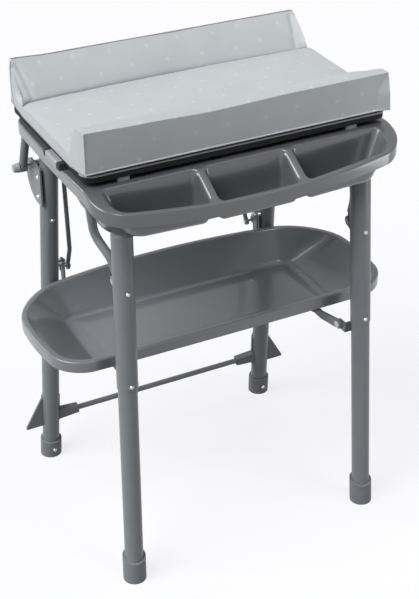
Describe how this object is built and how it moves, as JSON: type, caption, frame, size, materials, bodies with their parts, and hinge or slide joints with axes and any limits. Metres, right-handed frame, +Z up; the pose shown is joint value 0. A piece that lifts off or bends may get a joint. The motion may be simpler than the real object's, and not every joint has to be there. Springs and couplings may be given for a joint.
{
  "type": "changing table with bathtub",
  "caption": "Folding nursery stand with a grey bath tub with front compartments, a padded flip-up changing mat over it and a moulded storage shelf between tubular legs.",
  "frame": {"origin": "on the floor, at the middle of the footprint of the whole object", "axes": "+Z up, +X along the width to the viewer's right seen from the front, +Y to the rear"},
  "size_m": [0.798, 0.5423, 1.0295],
  "materials": {
    "frame_paint": "satin grey powder coat",
    "frame_plastic": "matt grey moulded plastic",
    "zinc": "bright zinc plate",
    "light_plastic": "light grey moulded plastic",
    "tub_plastic": "glossy dark grey moulded plastic",
    "shelf_plastic": "glossy dark grey moulded plastic",
    "board_plastic": "matt dark moulded plastic",
    "dark_rubber": "dark rubber",
    "mat_cover": "pale grey wipe-clean coated fabric cover, foam filled"
  },
  "bodies": {
    "rear_frame": {"rear_leg_left": "frame_paint", "rear_leg_right": "frame_paint", "rear_foot_left": "frame_plastic", "rear_foot_right": "frame_plastic", "rear_screws": "zinc", "rear_leg_caps": "frame_plastic", "hinge_bracket_left": "frame_paint", "hinge_bracket_right": "frame_paint", "bracket_rivets": "zinc", "hinge_pins": "zinc", "hinge_knobs": "light_plastic", "stabilizer_bar": "frame_paint", "stabilizer_bracket_left": "frame_plastic", "stabilizer_bracket_right": "frame_plastic", "shelf_studs": "zinc"},
    "tub_frame": {"cross_tube": "frame_paint", "cross_tube_bushes": "frame_plastic", "rod_cranks": "frame_paint", "crank_pins": "zinc", "carrier_tube_left": "frame_paint", "carrier_tube_right": "frame_paint", "tube_saddles": "frame_plastic", "tub_supports": "frame_paint", "tub": "tub_plastic", "drain_outlet": "tub_plastic", "drain_nut": "tub_plastic", "top_hinge_blocks": "tub_plastic"},
    "drain_plug": {"drain_plug": "dark_rubber"},
    "front_legs": {"front_leg_left": "frame_paint", "front_leg_right": "frame_paint", "front_sleeve_left": "frame_paint", "front_sleeve_right": "frame_paint", "front_foot_left": "frame_plastic", "front_foot_right": "frame_plastic", "front_leg_screws": "zinc", "front_leg_caps": "frame_plastic", "pivot_channels": "frame_paint", "pivot_pins": "zinc", "shelf_lugs": "frame_paint", "shelf_lug_pins": "zinc"},
    "shelf": {"shelf": "shelf_plastic", "shelf_bar_left": "frame_paint", "shelf_bar_right": "frame_paint", "shelf_rod_pins": "zinc"},
    "link_rods": {"link_rod_left": "frame_paint", "link_rod_right": "frame_paint"},
    "changing_top": {"changing_board": "board_plastic", "mat": "mat_cover", "front_buffers": "light_plastic", "side_catch_left": "light_plastic", "side_catch_right": "light_plastic", "catch_grips": "dark_rubber", "top_hinge_pins": "zinc"}
  },
  "joints": [
    {"name": "fold", "type": "hinge", "parent": "rear_frame", "child": "tub_frame", "pos_m": [0, 0.21788, 0.788], "axis": [-1, 0, 0], "range_deg": [0, 80]},
    {"name": "front_leg_fold", "type": "hinge", "parent": "tub_frame", "child": "front_legs", "pos_m": [0, -0.16346, 0.7], "axis": [-1, 0, 0], "range_deg": [-80, 0]},
    {"name": "shelf_fold", "type": "hinge", "parent": "rear_frame", "child": "shelf", "pos_m": [0, 0.20235, 0.545], "axis": [-1, 0, 0], "range_deg": [0, 80]},
    {"name": "link_rod_fold", "type": "hinge", "parent": "tub_frame", "child": "link_rods", "pos_m": [0, 0.22988, 0.768], "axis": [-1, 0, 0], "range_deg": [-80, 0]},
    {"name": "top_flip", "type": "hinge", "parent": "tub_frame", "child": "changing_top", "pos_m": [0, 0.192, 0.938], "axis": [-1, 0, 0], "range_deg": [0, 100]},
    {"name": "plug_pull", "type": "slide", "parent": "tub_frame", "child": "drain_plug", "axis": [0, 0, 1], "range_m": [0, 0.03]}
  ],
  "couplings": [
    {"joint": "front_leg_fold", "follows": "fold", "ratio": -1},
    {"joint": "shelf_fold", "follows": "fold", "ratio": 1},
    {"joint": "link_rod_fold", "follows": "fold", "ratio": -1}
  ]
}
